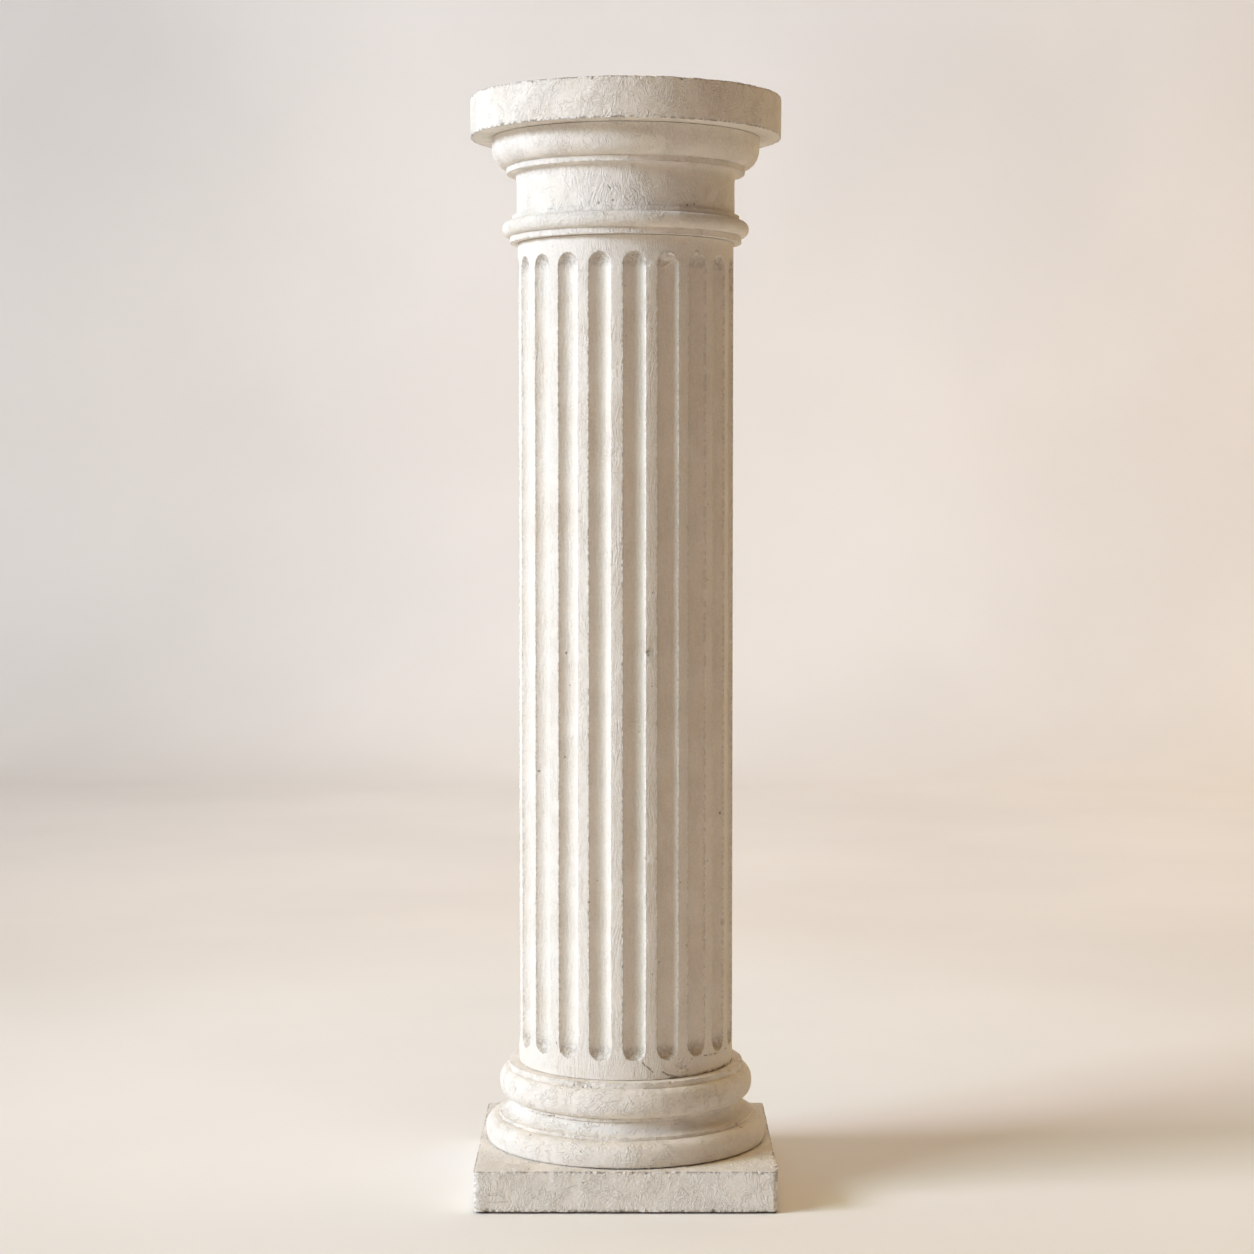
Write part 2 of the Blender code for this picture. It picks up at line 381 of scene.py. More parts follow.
class Skin:
    """A closed sheet of triangles that stands for the surface of a solid."""

    def __init__(self, points, normals, edge, index):
        foot, top = len(points), len(points) + 1
        lowest, highest = index[0], index[-1]
        ends = [[0, 0, points[lowest[0], 2]], [0, 0, points[highest[0], 2]]]
        self.points = np.concatenate([points, ends])
        self.normals = np.concatenate([normals, [[0, 0, -1], [0, 0, 1]]])
        self.edge = np.concatenate([edge, [0, 0]])
        self.nook = np.zeros(len(self.points))
        # Darkening that the paint carries at each point: grime, and painted shade in nooks, joints,
        # chips, flute ends and under the plinth
        self.grime_and_shade = np.zeros(len(self.points))
        self.crumble = np.zeros(len(self.points))
        self.triangles = np.concatenate([
            sheet(index),
            np.stack([np.full_like(lowest, foot), np.roll(lowest, -1), lowest], axis=1),
            np.stack([np.full_like(highest, top), highest, np.roll(highest, -1)], axis=1),
        ])

    def bed(self, foot_radius, top_radius):
        """Keeps the beds at the foot and the top flat and in place out to these radii."""
        radius, height = np.linalg.norm(self.points[:, :2], axis=1), self.points[:, 2]
        on_foot = (height < height.min() + FLAT) & (radius < foot_radius)
        on_top = (height > height.max() - FLAT) & (radius < top_radius)
        self.normals[on_foot | on_top] = 0
        near_foot = (height < height.min() + BED_EDGE) & (radius < foot_radius + BED_EDGE)
        near_top = (height > height.max() - BED_EDGE) & (radius < top_radius + BED_EDGE)
        self.edge[near_foot | near_top] = 0

    def press(self, depth):
        """Moves each point into the plaster by its depth, along its normal."""
        self.points -= self.normals * depth[:, None]

    def to_object(self, name):
        mesh = bpy.data.meshes.new(name)
        mesh.vertices.add(len(self.points))
        mesh.vertices.foreach_set("co", self.points.astype(np.float32).ravel())
        mesh.loops.add(self.triangles.size)
        mesh.loops.foreach_set("vertex_index", self.triangles.astype(np.int32).ravel())
        mesh.polygons.add(len(self.triangles))
        mesh.polygons.foreach_set("loop_start", np.arange(0, self.triangles.size, 3, dtype=np.int32))
        mesh.update(calc_edges=True)
        mesh.shade_smooth()
        mesh.set_sharp_from_angle(angle=SHARP)
        for label, values in (("grime_and_shade", self.grime_and_shade), ("crumble", self.crumble)):
            layer = mesh.attributes.new(label, "FLOAT", "POINT")
            layer.data.foreach_set("value", np.clip(values, 0, 1).astype(np.float32))
        obj = bpy.data.objects.new(name, mesh)
        bpy.context.scene.collection.objects.link(obj)
        return obj


def round_ring(count):
    """Points on a circle of radius 1 and their normals."""
    turns = np.linspace(0, math.tau, count, endpoint=False)
    ring = np.stack([np.sin(turns), -np.cos(turns)], axis=1)
    return ring, ring


def square_ring(count, corner):
    """Points on a square of half side 1 whose corners are rounded by a radius, and their normals."""
    quarter = np.radians(np.linspace(0, 90, BEND_POINTS))
    flat = 1 - corner
    bends = [
        np.stack([flat + corner * np.sin(quarter), -flat - corner * np.cos(quarter)], axis=1)
    ]
    facing = [np.stack([np.sin(quarter), -np.cos(quarter)], axis=1)]
    for _ in range(3):
        bends.append(np.stack([-bends[-1][:, 1], bends[-1][:, 0]], axis=1))
        facing.append(np.stack([-facing[-1][:, 1], facing[-1][:, 0]], axis=1))
    outline = np.concatenate([*bends, bends[0][:1]])
    normals = np.concatenate([*facing, facing[0][:1]])
    reach = np.concatenate([[0.0], np.cumsum(np.linalg.norm(np.diff(outline, axis=0), axis=1))])
    stops = np.linspace(0, reach[-1], count, endpoint=False)
    ring = np.stack([np.interp(stops, reach, outline[:, axis]) for axis in (0, 1)], axis=1)
    normal = np.stack([np.interp(stops, reach, normals[:, axis]) for axis in (0, 1)], axis=1)
    return ring, normal / np.linalg.norm(normal, axis=1)[:, None]


def carried(rows, ring, ring_normals):
    """The skin that an outline's rows make when they are carried round a ring."""
    shape = (len(rows.places), len(ring))
    points = np.concatenate([
        rows.places[:, :1, None] * ring[None],
        np.broadcast_to(rows.places[:, 1:, None], (*shape, 1)),
    ], axis=2)
    normals = np.concatenate([
        rows.normals[:, :1, None] * ring_normals[None],
        np.broadcast_to(rows.normals[:, 1:, None], (*shape, 1)),
    ], axis=2)
    index = np.arange(shape[0] * shape[1]).reshape(shape)
    edge, nook = (np.repeat(values, shape[1]) for values in (rows.edge, rows.nook))
    skin = Skin(points.reshape(-1, 3), normals.reshape(-1, 3), edge, index)
    skin.nook[:len(nook)] = nook
    return skin


# Wear

# Sizes over which the surface's swells, lumps and dimples change, and their depths
SWELL_SIZE, SWELL_DEPTH = 60 * MM, 0.18 * MM
LUMP_SIZE, LUMP_DEPTH = 16 * MM, 0.14 * MM
DIMPLE_SIZE, DIMPLE_DEPTH = 5.5 * MM, 0.1 * MM
DIMPLED_PATCH = 40 * MM
# Sizes over which the wear of an edge changes
RUBBED_SIZE = 9 * MM
NIBBLED_SIZE = 3.2 * MM
# How dark the painted shade in nooks and the dirt and painted shade in chips are, from 0 to 1, and the
# size over which the nooks' painted shade changes
NOOK_SHADE, NOOK_SHADE_SIZE = 0.22, 12 * MM
CHIP_DIRT_AND_SHADE = 0.3
# Chips: the smallest in millimetres, how much larger the largest is, and depths beside their size
CHIP_SIZE, CHIP_SPREAD = 1.3, 2.2
CHIP_DEPTHS = (0.2, 0.45)
CHIPPED_EDGE = 0.8
# The width of a slab's upright edges
UPRIGHT_EDGE = 1.6 * MM
# How far filler lies under the shaft's surface, and how crumbly a rough spot is
FILLER_DEPTH = 0.15 * MM
ROUGH_SPOT = 0.6
# Sizes over which the outlines of filler, chips and lines of dirt change
FILLER_SIZE = 5 * MM
RAGGED_SIZE = 3.5 * MM
LINE_RAGGED_SIZE = 7 * MM
# Degrees over which a line of dirt fades out at its ends
LINE_END = 8


def dents(points, centres, sizes, depths):
    """How deep round-bottomed dents at the given centres cut at each point."""
    total = np.zeros(len(points))
    for centre, size, depth in zip(centres, sizes, depths):
        away = np.linalg.norm(points - centre, axis=1)
        near = away < size
        total[near] = np.maximum(total[near], depth * (1 - (away[near] / size) ** 2))
    return total


def wear_down(skin, wear, crumbs, chips, seed, evenness=1.0):
    """Makes a skin as uneven as hand-finished plaster, rubs its edges and knocks chips out of them.

    Crumbs is how crumbly the edges look, from 0 to 1. The surface is less uneven for a higher evenness.
    """
    points = skin.points
    swell = 1 + wander(points, SWELL_SIZE, seed)
    lumps = 1 + rough(points, LUMP_SIZE, 2, seed + 10)
    dimpled = ramp(wander(points, DIMPLED_PATCH, seed + 50), -0.3, 0.6)
    dimples = dimpled * rough(points, DIMPLE_SIZE, 2, seed + 60)
    rubbed = 0.3 + 0.7 * ramp(rough(points, RUBBED_SIZE, 3, seed + 20), -0.5, 1.0)
    nibbled = ramp(rough(points, NIBBLED_SIZE, 2, seed + 30), 0.1, 0.9)
    chosen = np.random.default_rng(seed + 40)
    edge_points = np.flatnonzero(skin.edge > CHIPPED_EDGE)
    spots = chosen.choice(edge_points, chips)
    sizes = (CHIP_SIZE + CHIP_SPREAD * chosen.uniform(0, 1, chips) ** 3) * MM
    chipped = dents(points, points[spots], sizes, sizes * chosen.uniform(*CHIP_DEPTHS, chips))
    # Painted shade: patchy darkening in the inside corners, where shade falls
    nook_shade = skin.nook * NOOK_SHADE * ramp(rough(points, NOOK_SHADE_SIZE, 2, seed + 70), -0.4, 0.8)
    # Dirt and painted shade inside the chips
    in_chips = CHIP_DIRT_AND_SHADE * ramp(chipped, 0.3 * MM, 1.0 * MM)
    skin.grime_and_shade = np.maximum.reduce([skin.grime_and_shade, nook_shade, in_chips])
    skin.crumble = np.maximum(skin.crumble, crumbs * skin.edge)
    uneven = (SWELL_DEPTH * swell + LUMP_DEPTH * lumps + DIMPLE_DEPTH * dimples) / evenness
    rub = skin.edge * wear * (0.5 * rubbed + nibbled)
    skin.press(np.maximum(uneven, 0) + rub + chipped)


def upright_edges(points, half, corner):
    """1 on the upright edges of a square slab with rounded corners, falling off to 0 on its faces."""
    gap = half - np.abs(points[:, :2])
    away = np.hypot(gap[:, 0], gap[:, 1]) - corner * (math.sqrt(2) - 1)
    return np.exp(-((np.maximum(away, 0) / UPRIGHT_EDGE) ** 2))


def fill(skin, radius, places, seed):
    """Smears filler into the flutes, nearly flush with the shaft where the share is 1."""
    ragged = 1 + 0.25 * rough(skin.points, FILLER_SIZE, 2, seed)
    lack = np.maximum(0, radius - FILLER_DEPTH - np.linalg.norm(skin.points[:, :2], axis=1))
    for turn, height, size, share in places:
        away = np.linalg.norm(skin.points - place_at(turn, radius / MM, height), axis=1) * ragged
        inside = share * ramp(away, size * MM, 0.75 * size * MM)
        skin.press(-inside * lack)
        skin.crumble *= 1 - inside
        skin.grime_and_shade *= 1 - inside


def knock(skin, places, seed):
    """Ragged chips at named places, or rough spots where the depth is 0."""
    ragged = 1 + 0.5 * rough(skin.points, RAGGED_SIZE, 2, seed)
    for turn, radius, height, size, depth in places:
        away = np.linalg.norm(skin.points - place_at(turn, radius, height), axis=1) * ragged
        inside = ramp(away, size * MM, 0.45 * size * MM)
        skin.press(inside * depth * MM)
        if depth > 0:
            # Dirt and painted shade inside a named chip
            skin.grime_and_shade = np.maximum(skin.grime_and_shade, CHIP_DIRT_AND_SHADE * inside)
        else:
            skin.crumble = np.maximum(skin.crumble, ROUGH_SPOT * inside)


def foot_line(skin, start, end, width, seed):
    """Darkens a line along the joint under the skin, from one turn to another in degrees."""
    turns = np.degrees(np.arctan2(skin.points[:, 0], -skin.points[:, 1]))
    height = skin.points[:, 2] - skin.points[:, 2].min()
    ragged = ramp(rough(skin.points, LINE_RAGGED_SIZE, 2, seed), -0.7, 0.3)
    along = ramp(turns, start, start + LINE_END) * ramp(turns, end, end - LINE_END)
    skin.grime_and_shade = np.maximum(skin.grime_and_shade, along * ragged * ramp(height, width, 0.3 * width))


# The shaft's skin

ROWS_BY_RIM = 12
ROWS_IN_END = 14
ROWS_BETWEEN = 330
ROWS_PER_COARSE = 3
RIM_CROWDING = 1.3
END_ZONE = 12 * MM
LIP = 0.2 * MM
HIDDEN_INSET = 14 * MM
EDGE_OFFSET = 0.6 * MM
FLOOR_STOPS = (0.0, 0.26, 0.5, 0.71, 0.87)
EDGE_STOPS = (0.95, 1.0)
FLAT_START = 1.8 * MM
EDGE_PULL = 4 * EDGE_OFFSET
EDGE_WIDTH = 1.1 * EDGE_OFFSET
# How a flute's edge strays from its line: (size, share) of each layer of noise
STRAYS = ((50 * MM, 1.0), (11 * MM, 0.5), (4.5 * MM, 0.8))
STRAY_SEED = 501
STRAY_STEP = 7.3
# How crumbly the flutes' ends are, and how dark they are painted: grime, and painted shade in the
# hollow ends
END_CRUMBLE = 0.55
END_GRIME_AND_SHADE = 0.16


class Fluting:
    """The shape of the flutes: rods with ball ends, bitten into the shaft."""

    def __init__(self, shaft):
        self.foot, self.top = levels("shaft")
        self.radius = shaft.radius
        self.pitch = math.tau / shaft.flutes
        half_width = self.radius * math.sin(self.pitch / 2) - shaft.fillet / 2
        bite = shaft.depth - self.radius + math.sqrt(self.radius**2 - half_width**2)
        self.rod = (half_width**2 + bite**2) / (2 * bite)
        self.axis = self.radius + self.rod - shaft.depth
        self.half = math.asin(half_width / self.radius)
        reach = math.sqrt(self.rod**2 - (self.rod - shaft.depth) ** 2)
        self.low = self.foot + shaft.margin_foot + reach
        self.high = self.top - shaft.margin_top - reach

    def surface(self, phase, height):
        """Distance of the surface from the axis, at an angle from the middle of a flute."""
        beyond = np.maximum(0, np.maximum(self.low - height, height - self.high))
        room = self.rod**2 - beyond**2 - (self.axis * np.sin(phase)) ** 2
        cut = self.axis * np.cos(phase) - np.sqrt(np.maximum(room, 0))
        return np.where(room > 0, np.minimum(cut, self.radius), self.radius)

    def rim(self, phase):
        """How far a flute's end reaches past the ball's middle, at an angle from the flute's."""
        room = (
            self.rod**2
            - (self.axis * math.sin(phase)) ** 2
            - (self.axis * math.cos(phase) - self.radius) ** 2
        )
        return math.sqrt(max(room, 0)) if abs(phase) < self.half else 0.0

    def heights(self, phase):
        """The heights of a column's rows, crowded towards the rims of the flute's ends."""
        by_rim = np.linspace(0, 1, ROWS_BY_RIM + 1) ** RIM_CROWDING
        in_end = np.linspace(0, 1, ROWS_IN_END + 1) ** RIM_CROWDING
        low_rim, high_rim = self.low - self.rim(phase), self.high + self.rim(phase)
        foot, top = self.foot + LIP, self.top - LIP
        low_end, high_end = self.low + END_ZONE, self.high - END_ZONE
        return np.concatenate([
            [self.foot, self.foot],
            (low_rim + (foot - low_rim) * by_rim)[::-1],
            (low_rim + (low_end - low_rim) * in_end)[1:],
            np.linspace(low_end, high_end, ROWS_BETWEEN + 1)[1:],
            (high_rim + (high_end - high_rim) * in_end)[-2::-1],
            (high_rim + (top - high_rim) * by_rim)[1:],
            [self.top, self.top],
        ])


def fluted_skin(shaft):
    """The shaft's skin: upright columns of points, close together along the flutes' edges.

    Columns away from the edges skip rows between the flutes' ends.
    """
    form = Fluting(shaft)
    edge_angle = EDGE_OFFSET / form.radius
    coarse = [stop * form.half for stop in FLOOR_STOPS]
    fine = [stop * form.half for stop in EDGE_STOPS]
    fine += [form.half + edge_angle, form.half + FLAT_START / form.radius]
    phases = sorted([-phase for phase in coarse[1:] + fine] + coarse + fine) + [form.pitch / 2]
    heights = np.stack([form.heights(phase) for phase in phases])
    phases = np.array(phases)
    rows = heights.shape[1]
    low_rim = 2 + ROWS_BY_RIM
    first_middle = low_rim + ROWS_IN_END
    high_rim = first_middle + ROWS_BETWEEN + ROWS_IN_END

    row = np.arange(rows)
    offset = row - first_middle
    between = (offset > 0) & (offset < ROWS_BETWEEN)
    skipped_to = ROWS_PER_COARSE * np.round(offset / ROWS_PER_COARSE).astype(int)
    nearest = np.where(between, first_middle + skipped_to, row)
    is_fine = np.isin(np.round(np.abs(phases), 9), np.round(fine, 9))
    keeps = np.where(is_fine[:, None], row, nearest[None, :])

    surface = form.surface(phases[:, None], heights)
    surface[:, [0, -1]] -= HIDDEN_INSET
    surface[:, [1, -2]] -= LIP
    from_edge = np.abs(np.abs(phases) - form.half) * form.radius
    upright_edge = np.exp(-((from_edge / EDGE_WIDTH) ** 2))[:, None]
    upright_edge = upright_edge * ((heights > form.low) & (heights < form.high))
    from_low = np.abs(heights - heights[:, [low_rim]])
    from_high = np.abs(heights - heights[:, [high_rim]])
    in_flute = (np.abs(phases) <= form.half)[:, None]
    rim_edge = np.exp(-((np.minimum(from_low, from_high) / EDGE_OFFSET) ** 2)) * in_flute
    edge = np.maximum(upright_edge, rim_edge)
    edge[:, [0, 1, -2, -1]] = 0
    in_top = ramp(heights, form.high - 5 * MM, form.high + 3 * MM)
    in_foot = ramp(heights, form.low + 5 * MM, form.low - 3 * MM)
    # Grime and painted shade in the flutes' hollow ends
    dark_end = np.maximum(in_top, in_foot) * (surface < form.radius - 0.5 * MM)

    pull = np.clip(1 - from_edge / EDGE_PULL, 0, 1)
    turns = []
    for flute in range(shaft.flutes):
        stray = np.zeros_like(heights)
        for side in (-1, 1):
            mine = np.sign(phases) == side
            place = np.full(rows, STRAY_STEP * (2 * flute + side))
            along = np.stack([place, np.zeros(rows), heights[0]], axis=1)
            stray[mine] = pull[mine][:, None] * sum(
                share * wander(along, (1, 1, size), STRAY_SEED + layer)
                for layer, (size, share) in enumerate(STRAYS)
            )
        middle = shaft.turn + flute * form.pitch
        turns.append(middle + phases[:, None] + stray * shaft.wobble / form.radius)
    turns = np.concatenate(turns)
    keeps = np.tile(keeps, (shaft.flutes, 1))
    used = keeps == row[None, :]
    numbers = np.cumsum(used.ravel()).reshape(used.shape) - 1
    index = numbers[np.arange(len(turns))[:, None], keeps].T
    radial = np.stack([np.sin(turns), -np.cos(turns), np.zeros_like(turns)], axis=2)
    points = radial * np.tile(surface, (shaft.flutes, 1))[:, :, None]
    points[:, :, 2] = np.tile(heights, (shaft.flutes, 1))
    skin = Skin(points[used], radial[used], np.tile(edge, (shaft.flutes, 1))[used], index)
    dark_ends = np.tile(dark_end, (shaft.flutes, 1))[used]
    skin.crumble[:len(dark_ends)] = END_CRUMBLE * dark_ends
    skin.grime_and_shade[:len(dark_ends)] = END_GRIME_AND_SHADE * dark_ends
    return skin


# Materials

def node(tree, kind, sockets=None, **settings):
    """Adds a shader node. A socket's value is either a constant or the output that feeds it."""
    made = tree.nodes.new(kind)
    for key, value in settings.items():
        setattr(made, key, value)
    for key, value in (sockets or {}).items():
        if isinstance(value, bpy.types.NodeSocket):
            tree.links.new(value, made.inputs[key])
        else:
            made.inputs[key].default_value = value
    return made


def reckon(tree, operation, *values, clamp=False):
    made = node(tree, "ShaderNodeMath", dict(enumerate(values)), operation=operation, use_clamp=clamp)
    return made.outputs[0]


def multiplied(tree, first, second):
    return reckon(tree, "MULTIPLY", first, second)


def reckon_vector(tree, operation, *values):
    made = node(tree, "ShaderNodeVectorMath", dict(enumerate(values)), operation=operation)
    gives_number = operation in ("DISTANCE", "DOT_PRODUCT", "LENGTH")
    return made.outputs["Value" if gives_number else "Vector"]


def noise(tree, place, scale, detail=2.0, roughness=0.5, distortion=0.0):
    sockets = {
        "Vector": place,
        "Scale": scale,
        "Detail": detail,
        "Roughness": roughness,
        "Distortion": distortion,
    }
    return node(tree, "ShaderNodeTexNoise", sockets).outputs["Fac"]


def fade(tree, value, start, end, low=0.0, high=1.0):
    """A smooth step from low at start to high at end."""
    sockets = {"Value": value, "From Min": start, "From Max": end, "To Min": low, "To Max": high}
    made = node(tree, "ShaderNodeMapRange", sockets, interpolation_type="SMOOTHSTEP")
    return made.outputs["Result"]


def mixed(tree, share, first, second, blend="MIX"):
    """A mix of two colours, each an output or three numbers."""
    made = node(tree, "ShaderNodeMix", data_type="RGBA", blend_type=blend)
    for socket, value in ((made.inputs[0], share), (made.inputs[6], first), (made.inputs[7], second)):
        if isinstance(value, bpy.types.NodeSocket):
            tree.links.new(value, socket)
        else:
            socket.default_value = value if isinstance(value, float) else (*value, 1.0)
    return made.outputs[2]


def scattered(tree, place, scale):
    """The outputs of a Voronoi texture, and a random number for each of its cells."""
    cells = node(tree, "ShaderNodeTexVoronoi", {"Vector": place, "Scale": scale}).outputs
    return cells, node(tree, "ShaderNodeSeparateColor", {"Color": cells["Color"]}).outputs["Red"]


def painted_on(tree, layer):
    """A value that a skin carries at each point."""
    return node(tree, "ShaderNodeAttribute", attribute_name=layer).outputs["Fac"]


def new_material(name, roughness, specular):
    """A material, its node tree, its shader's inputs and the place on the piece that it colours."""
    material = bpy.data.materials.new(name)
    material.use_nodes = True
    tree = material.node_tree
    shader = tree.nodes["Principled BSDF"].inputs
    shader["Roughness"].default_value = roughness
    shader["Specular IOR Level"].default_value = specular
    return material, tree, shader, node(tree, "ShaderNodeTexCoord").outputs["Object"]


def new_group(name, vectors, number):
    """An empty node group that takes vectors and a number and gives a depth.

    It comes with its inputs and with where its result goes.
    """
    group = bpy.data.node_groups.new(name, "ShaderNodeTree")
    new_socket = group.interface.new_socket
    for label in vectors:
        new_socket(name=label, in_out="INPUT", socket_type="NodeSocketVector")
    new_socket(name=number, in_out="INPUT", socket_type="NodeSocketFloat")
    new_socket(name="Depth", in_out="OUTPUT", socket_type="NodeSocketFloat")
    given = group.nodes.new("NodeGroupInput").outputs
    return group, given, group.nodes.new("NodeGroupOutput").inputs[0]


def pit_group():
    """1 inside a small pit and 0 outside it."""
    group, given, result = new_group("pit", ("Place", "Centre"), "Size")
    away = reckon_vector(group, "DISTANCE", given["Place"], given["Centre"])
    share = reckon(group, "DIVIDE", away, given["Size"])
    group.links.new(fade(group, share, 1.0, 0.5), result)


def crack_group():
    """1 along a straight piece of a crack and 0 away from it."""
    group, given, result = new_group("crack", ("Place", "Start", "End"), "Width")
    along = reckon_vector(group, "SUBTRACT", given["End"], given["Start"])
    here = reckon_vector(group, "SUBTRACT", given["Place"], given["Start"])
    share = reckon(
        group,
        "DIVIDE",
        reckon_vector(group, "DOT_PRODUCT", here, along),
        reckon_vector(group, "DOT_PRODUCT", along, along),
        clamp=True,
    )
    reached = node(group, "ShaderNodeVectorMath", {0: along, "Scale": share}, operation="SCALE")
    away = reckon_vector(group, "DISTANCE", here, reached.outputs["Vector"])
    group.links.new(fade(group, reckon(group, "DIVIDE", away, given["Width"]), 1.0, 0.4), result)


BARELY = 1e-7
# How far in the middle of a mark lies, in millimetres
SUNK = 0.3


def marked(tree, place, pits, cracks):
    """1 in the pits and cracks of a piece and 0 elsewhere.

    Each mark's place hangs on the mark before, so that the renderer works them out one by one.
    Worked out together, many marks are more than a shader has room for, and it turns black.
    """
    marks = []
    for turn, radius, height, size in pits:
        marks.append(("pit", {"Centre": place_at(turn, radius - SUNK, height), "Size": size * MM}))
    for width, *bends in cracks:
        places = [place_at(turn, radius - SUNK, height) for turn, radius, height in bends]
        for start, end in zip(places, places[1:]):
            marks.append(("crack", {"Start": start, "End": end, "Width": width * MM}))
    deepest = 0.0
    for kind, sockets in marks:
        made = tree.nodes.new("ShaderNodeGroup")
        made.node_tree = bpy.data.node_groups[kind]
        tree.links.new(place, made.inputs["Place"])
        for key, value in sockets.items():
            made.inputs[key].default_value = value
        deepest = reckon(tree, "MAXIMUM", deepest, made.outputs["Depth"])
        place = reckon_vector(tree, "MULTIPLY_ADD", deepest, (BARELY, BARELY, BARELY), place)
    return deepest


# How each piece was worked. Lengths are metres, turns radians and heights millimetres.
STROKE_WIDTH = 1.7 * MM
STROKE_LENGTH = {"upright": 16 * MM, "level": 12 * MM, "fanned": 10 * MM, "trowelled": 6 * MM}
STROKE_PATCH = {"upright": 30 * MM, "level": 16 * MM, "fanned": 15 * MM, "trowelled": 11 * MM}
STROKE_SLANT = {"upright": 0.0, "level": 1.3, "fanned": 0.1, "trowelled": 0.7}
STROKE_SPREAD = {"upright": 0.25, "level": 0.8, "fanned": 0.8, "trowelled": 1.0}
STROKE_HEIGHT = {"upright": 1.3, "level": 1.3, "fanned": 1.6, "trowelled": 1.9}
CURL_HEIGHT = {"upright": 0.14, "level": 0.45, "fanned": 0.35, "trowelled": 0.4}

# Scales of noise in the plaster, in waves a metre
MOTTLE_SCALE = 22.0
SPECKLE_SCALE = 420.0
CRUMB_SCALE = 300.0
PRESSED_SCALE = 38.0
CURLED_SCALE = 90.0
STIPPLE_SCALE = 400.0
STIPPLED_SCALE = 26.0
POCK_SCALE = 80.0
GRAIN_SCALE = 900.0
LUMP_SCALE = 110.0
# The scale and the width of curls, and how high the broad ones are beside the fine ones
BROAD_CURLS = (40.0, 0.022)
FINE_CURLS = (115.0, 0.065)
BROAD_SHARE = 0.7
# How far shapes are shaken out of true: the scale of the noise and its reach
PATCH_SHAKE = (60.0, 20 * MM)
POCK_SHAKE = (500.0, 2 * MM)
MARK_SHAKE = (700.0, 2.4 * MM)
SEAM_SHAKE = (500.0, 2 * MM)
# Heights in the relief, in millimetres
STIPPLE_HEIGHT = 0.16
GRAIN_HEIGHT = 0.05
LUMP_HEIGHT = 0.28
POCK_HEIGHT = -0.6
CRUMB_HEIGHT = -1.0
MARK_HEIGHT = -0.6
SEAM_HEIGHT = 0.5
# How dark pocks, crumbs and marks are painted, from 0 to 1: dirt, and painted shade in these small
# hollows
POCK_DIRT_AND_SHADE = 0.5
CRUMB_DIRT_AND_SHADE = 0.45
MARK_DIRT_AND_SHADE = 0.6
SPECULAR = 0.25
FRESH = (0.93, 0.90, 0.85)


def shaken(tree, place, scale, reach):
    """Places moved about by noise, by up to half the reach."""
    drift = node(tree, "ShaderNodeTexNoise", {"Vector": place, "Scale": scale})
    shift = reckon_vector(tree, "SUBTRACT", drift.outputs["Color"], (0.5, 0.5, 0.5))
    return reckon_vector(tree, "MULTIPLY_ADD", shift, (reach, reach, reach), place)


def stroked(tree, place, working):
    """Strokes of a brush or a trowel, in patches that each run their own way."""
    patches = shaken(tree, place, *PATCH_SHAKE)
    cells, chance = scattered(tree, patches, 1 / STROKE_PATCH[working])
    slant, spread = STROKE_SLANT[working], STROKE_SPREAD[working]
    sockets = {
        "Vector": place,
        "Center": cells["Position"],
        "Axis": reckon_vector(tree, "MULTIPLY", place, (1.0, 1.0, 0.0)),
        "Angle": reckon(tree, "MULTIPLY_ADD", chance, 2 * spread, slant - spread),
    }
    turned = node(tree, "ShaderNodeVectorRotate", sockets, rotation_type="AXIS_ANGLE")
    across, length = 1 / STROKE_WIDTH, 1 / STROKE_LENGTH[working]
    strokes = reckon_vector(tree, "MULTIPLY", turned.outputs["Vector"], (across, across, length))
    return noise(tree, strokes, 1.0, detail=3.0, roughness=0.6, distortion=0.7)


def curled(tree, place, scale, width):
    """Thin curved ridges."""
    swirl = noise(tree, place, scale, detail=1.0, distortion=1.5)
    off_ridge = reckon(tree, "ABSOLUTE", reckon(tree, "SUBTRACT", swirl, 0.5))
    return fade(tree, off_ridge, width, 0.0)


def worked(tree, place, working):
    """The relief that brush and trowel left, in millimetres."""
    pressed = fade(tree, noise(tree, place, PRESSED_SCALE), 0.36, 0.6, 0.25, 1.0)
    strokes = multiplied(tree, stroked(tree, place, working), pressed)
    broad = multiplied(tree, curled(tree, place, *BROAD_CURLS), BROAD_SHARE)
    curls = reckon(tree, "MAXIMUM", broad, curled(tree, place, *FINE_CURLS))
    in_patches = fade(tree, noise(tree, place, CURLED_SCALE, detail=1.0), 0.46, 0.58)
    curls = multiplied(tree, curls, in_patches)
    stipple = fade(tree, noise(tree, place, STIPPLE_SCALE, detail=1.0), 0.4, 0.62)
    stippled = fade(tree, noise(tree, place, STIPPLED_SCALE), 0.48, 0.62)
    height = multiplied(tree, strokes, STROKE_HEIGHT[working])
    height = reckon(tree, "MULTIPLY_ADD", curls, CURL_HEIGHT[working], height)
    return reckon(tree, "MULTIPLY_ADD", multiplied(tree, stipple, stippled), STIPPLE_HEIGHT, height)


def pocked(tree, place):
    """1 in small pits strewn at random and 0 elsewhere."""
    cells, chance = scattered(tree, shaken(tree, place, *POCK_SHAKE), POCK_SCALE)
    size = fade(tree, chance, 0.72, 1.0, 0.0, 0.08)
    return fade(tree, reckon(tree, "SUBTRACT", size, cells["Distance"]), 0.0, 0.03)


def painted(tree, place, finish):
    """The paint's colour, mottled and speckled."""
    warmth = fade(tree, noise(tree, place, MOTTLE_SCALE, detail=5.0, roughness=0.6), 0.42, 0.66)
    paint = mixed(tree, warmth, tuple(finish.plaster), tuple(finish.warm))
    speckle = fade(tree, noise(tree, place, SPECKLE_SCALE), 0.3, 0.7, 0.96, 1.02)
    return mixed(tree, 1.0, paint, speckle, "MULTIPLY")


